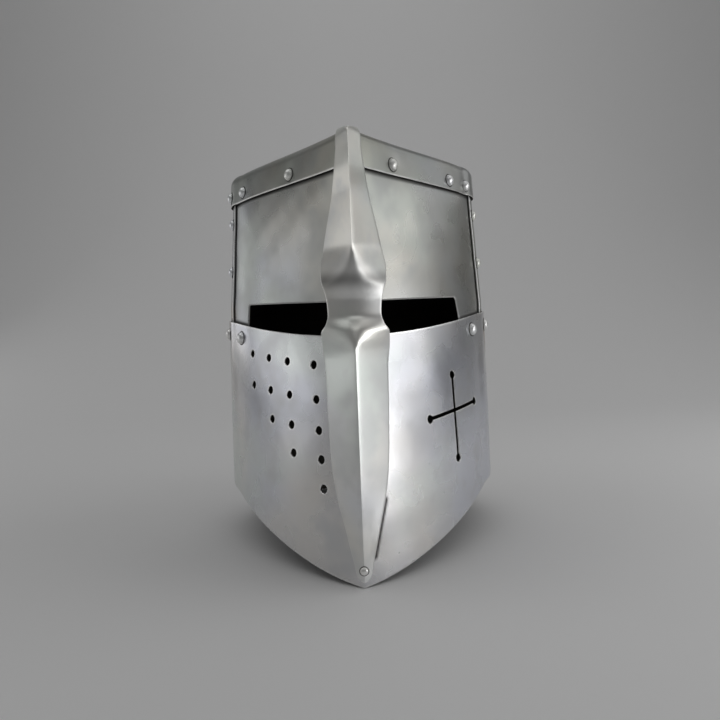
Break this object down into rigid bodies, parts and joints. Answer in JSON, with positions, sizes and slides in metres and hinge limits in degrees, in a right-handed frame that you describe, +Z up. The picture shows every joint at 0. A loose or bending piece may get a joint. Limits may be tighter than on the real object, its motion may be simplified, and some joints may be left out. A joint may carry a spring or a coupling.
{
  "type": "great helm",
  "caption": "Closed sheet steel helm with a flat crown, creased front, two eye slits, round breaths, a cross-shaped breath and a ridged nasal bar.",
  "frame": {"origin": "centre of the footprint box, on the floor that the front point and the rear edge stand on", "axes": "+Z up through the crown, -Y toward the front crease, +X toward the wearer's left"},
  "size_m": [0.2208, 0.2618, 0.2928],
  "materials": {
    "band_steel": "satin, slightly darkened",
    "upper_steel": "satin",
    "face_steel": "satin, brighter",
    "back_steel": "satin",
    "bar_steel": "satin, brighter",
    "rivet_steel": "smooth domed heads"
  },
  "bodies": {
    "root": {"crown": "band_steel", "brow_plate": "upper_steel", "upper_back_plate": "upper_steel", "face_plate": "face_steel", "lower_back_plate": "back_steel", "nasal_bar": "bar_steel", "rivet_band_1": "rivet_steel", "rivet_band_2": "rivet_steel", "rivet_band_3": "rivet_steel", "rivet_band_4": "rivet_steel", "rivet_band_5": "rivet_steel", "rivet_band_6": "rivet_steel", "rivet_band_7": "rivet_steel", "rivet_band_8": "rivet_steel", "rivet_band_9": "rivet_steel", "rivet_band_10": "rivet_steel", "rivet_band_11": "rivet_steel", "rivet_band_12": "rivet_steel", "rivet_seam_right_1": "rivet_steel", "rivet_seam_right_2": "rivet_steel", "rivet_corner_right_1": "rivet_steel", "rivet_corner_right_2": "rivet_steel", "rivet_rear_right_1": "rivet_steel", "rivet_rear_right_2": "rivet_steel", "rivet_side_right_1": "rivet_steel", "rivet_side_right_2": "rivet_steel", "rivet_side_right_3": "rivet_steel", "rivet_seam_left_1": "rivet_steel", "rivet_seam_left_2": "rivet_steel", "rivet_corner_left_1": "rivet_steel", "rivet_corner_left_2": "rivet_steel", "rivet_rear_left_1": "rivet_steel", "rivet_rear_left_2": "rivet_steel", "rivet_side_left_1": "rivet_steel", "rivet_side_left_2": "rivet_steel", "rivet_side_left_3": "rivet_steel", "rivet_bar_foot": "rivet_steel", "rivet_bar_top": "rivet_steel"}
  },
  "joints": []
}
